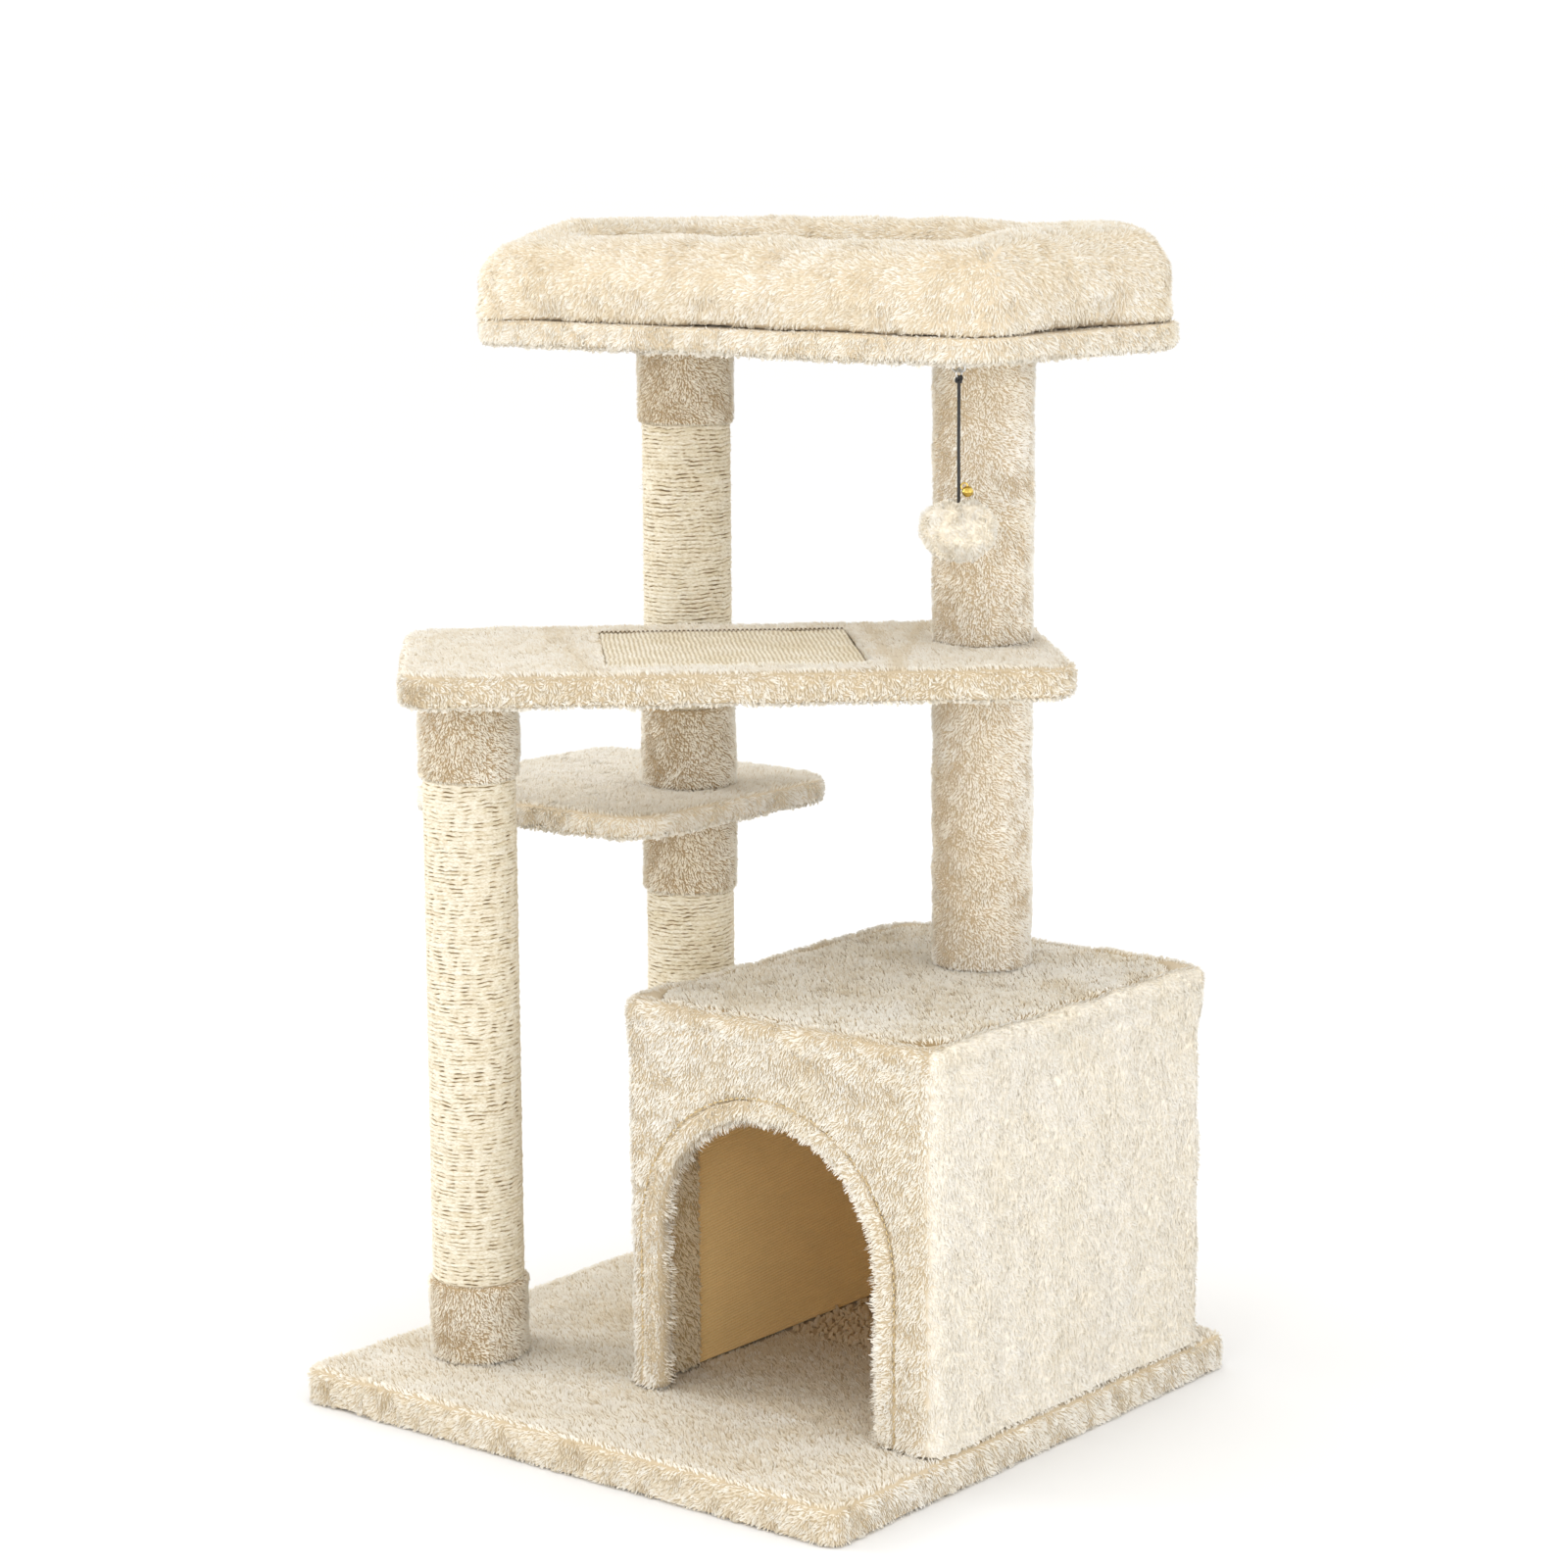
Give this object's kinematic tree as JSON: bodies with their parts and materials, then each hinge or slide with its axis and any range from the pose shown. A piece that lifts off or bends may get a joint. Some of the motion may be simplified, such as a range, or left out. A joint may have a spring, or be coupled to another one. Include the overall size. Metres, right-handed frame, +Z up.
{
  "type": "cat tree",
  "caption": "Plush covered cat tree with a square base, arched condo, sisal posts, slanted shelf with scratch mat, side perch, rimmed top bed and a hanging pompom.",
  "frame": {"origin": "centre of the base's underside, on the floor", "axes": "+Z up, the condo's doorway faces -Y, +X to the right when facing the doorway"},
  "size_m": [0.574, 0.493, 0.84],
  "materials": {
    "plush": "short cream plush pile, matt with a soft sheen",
    "plush_bed": "longer soft cream plush pile",
    "sisal_rope": "twisted natural sisal rope, hairy and matt",
    "sisal_weave": "woven natural sisal mat",
    "lining": "tan twill backing cloth",
    "underlay": "non-woven dust sheet",
    "board": "particle board",
    "card": "spiral-wound cardboard",
    "plug": "moulded end plug",
    "steel": "zinc plated",
    "bell_brass": "bright gold plate",
    "elastic": "black braided elastic"
  },
  "bodies": {
    "frame": {"base_board": "board", "base_cover": "plush", "base_underlay": "underlay", "base_bolts": "steel", "condo_front_panel": "board", "condo_back_panel": "board", "condo_left_panel": "board", "condo_right_panel": "board", "condo_roof_board": "board", "condo_wall_cover": "plush", "condo_roof_cover": "plush", "condo_lining": "lining", "condo_door_binding": "plush", "condo_door_returns": "plush", "condo_base_screws": "steel", "condo_roof_screws": "steel", "roof_bolt": "steel", "shelf_board": "board", "shelf_cover": "plush", "scratch_mat": "sisal_weave", "shelf_bolt": "steel", "mid_perch_board": "board", "mid_perch_cover": "plush", "top_perch_board": "board", "top_perch_cover": "plush", "perch_bolts": "steel", "bolt_washers": "steel", "post_end_plugs": "plug", "joining_studs": "steel", "toy_staple": "steel", "front_post_tube": "card", "front_post_sisal": "sisal_rope", "front_post_bands": "plush", "back_post_lower_tube": "card", "back_post_lower_sisal": "sisal_rope", "back_post_lower_bands": "plush", "back_post_upper_tube": "card", "back_post_upper_sisal": "sisal_rope", "back_post_upper_bands": "plush", "right_post_lower_tube": "card", "right_post_lower_sleeve": "plush", "right_post_upper_tube": "card", "right_post_upper_sleeve": "plush"},
    "bed": {"bed_bolster": "plush_bed", "bed_cushion": "plush_bed"},
    "toy_loop": {"toy_ring": "steel"},
    "toy": {"toy_string": "elastic", "toy_bell": "bell_brass", "toy_bell_pellet": "steel", "toy_pompom": "plush_bed"}
  },
  "joints": [
    {"name": "bed_lift_off", "type": "slide", "parent": "frame", "child": "bed", "axis": [0, 0, 1], "range_m": [0, 0.12]},
    {"name": "toy_swing_front_back", "type": "hinge", "parent": "frame", "child": "toy_loop", "pos_m": [0.158, 0.0105, 0.737], "axis": [1, 0, 0], "range_deg": [-50, 20]},
    {"name": "toy_swing_side", "type": "hinge", "parent": "toy_loop", "child": "toy", "pos_m": [0.158, 0.0105, 0.7325], "axis": [0, 1, 0], "range_deg": [-45, 20]}
  ]
}
